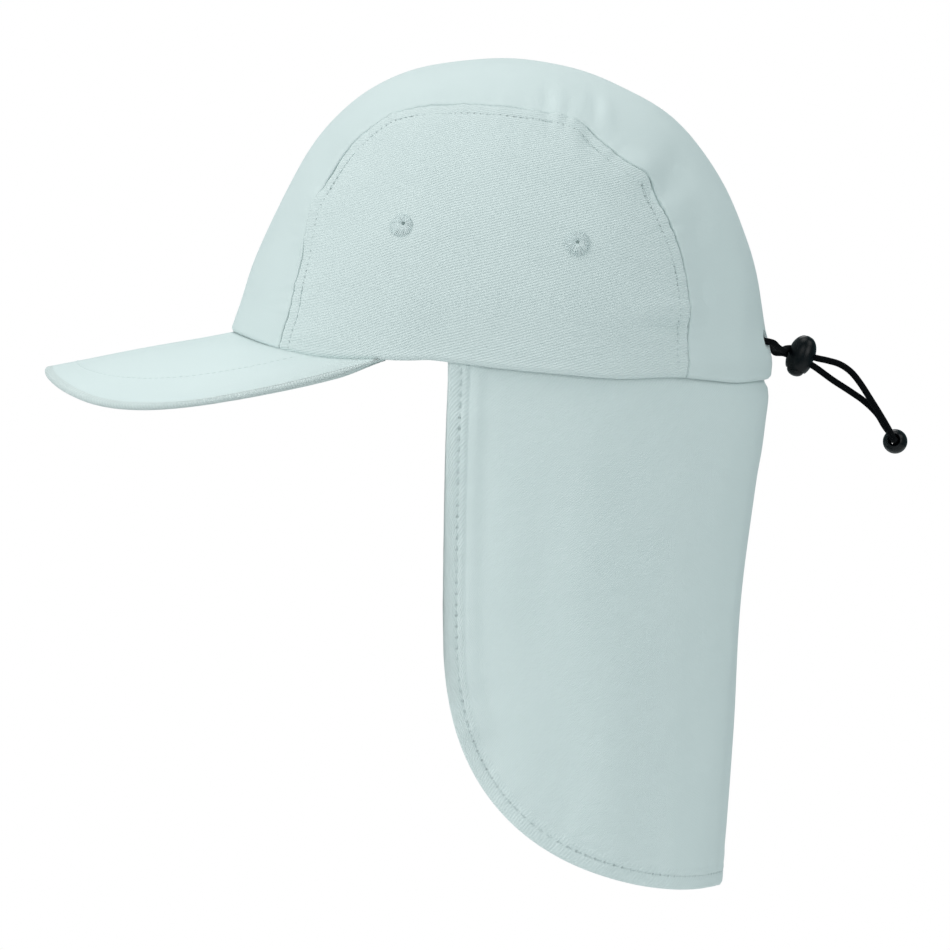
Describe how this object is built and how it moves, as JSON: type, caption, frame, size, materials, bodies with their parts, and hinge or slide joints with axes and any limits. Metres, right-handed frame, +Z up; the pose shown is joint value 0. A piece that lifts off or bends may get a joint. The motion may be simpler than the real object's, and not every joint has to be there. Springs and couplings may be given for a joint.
{
  "type": "legionnaire cap",
  "caption": "Soft cotton cap with a three-panel domed crown, an arched peak, a long neck flap, embroidered eyelets and a rear drawcord with a spring cord lock and bead.",
  "frame": {"origin": "centre of the head opening, where a head sits, at the middle of the crown's length", "axes": "+Z up; the wearer looks along -X, so the peak points to -X; the wearer's left is -Y"},
  "size_m": [0.325, 0.1658, 0.3122],
  "materials": {
    "cotton_twill": "matt woven cotton",
    "eyelet_thread": "satin thread",
    "elastic_cord": "matt braid",
    "lock_plastic": "satin"
  },
  "bodies": {
    "cap": {"crown_centre_panel": "cotton_twill", "side_panel_left": "cotton_twill", "side_panel_right": "cotton_twill", "peak_top_cover": "cotton_twill", "peak_under_cover": "cotton_twill", "neck_flap": "cotton_twill", "drawcord_casing": "cotton_twill", "eyelet_front_left": "eyelet_thread", "eyelet_rear_left": "eyelet_thread", "eyelet_front_right": "eyelet_thread", "eyelet_rear_right": "eyelet_thread", "drawcord": "elastic_cord", "cord_lock_barrel": "lock_plastic", "cord_end_bead": "lock_plastic"},
    "lock_button": {"cord_lock_button": "lock_plastic"}
  },
  "joints": [
    {"name": "lock_button_press", "type": "slide", "parent": "cap", "child": "lock_button", "axis": [0.3746, 0, 0.9272], "range_m": [0, 0.0018], "stiffness_N_per_m": 600, "springref_m": -0.002}
  ]
}
